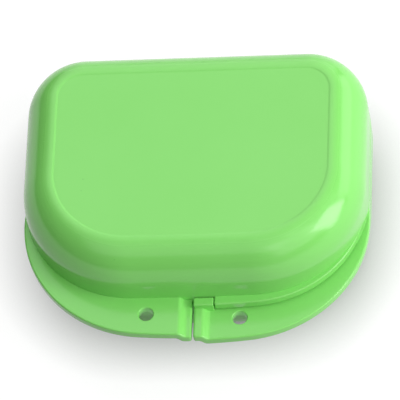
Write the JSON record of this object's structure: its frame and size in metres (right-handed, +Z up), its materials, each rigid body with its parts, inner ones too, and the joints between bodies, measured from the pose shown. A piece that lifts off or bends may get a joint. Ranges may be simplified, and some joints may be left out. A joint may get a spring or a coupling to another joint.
{
  "type": "denture case",
  "caption": "Hinged D-shaped case with domed halves, sunk panels, a split thumb lip with cord holes and a catch at the front.",
  "frame": {"origin": "centre of the closed case's bounding box, on the flat surface it rests on", "axes": "+X to the viewer's right along the case's width, +Y from the thumb lip to the hinge, +Z up, towards the lid"},
  "size_m": [0.0798, 0.0756, 0.0328],
  "materials": {
    "lid_green": "glossy",
    "base_green": "glossy"
  },
  "bodies": {
    "base": {"base_half": "base_green"},
    "lid": {"lid_half": "lid_green"}
  },
  "joints": [
    {"name": "lid_hinge", "type": "hinge", "parent": "base", "child": "lid", "pos_m": [0, 0.0355, 0.0164], "axis": [-1, 0, 0], "range_deg": [0, 180]}
  ]
}
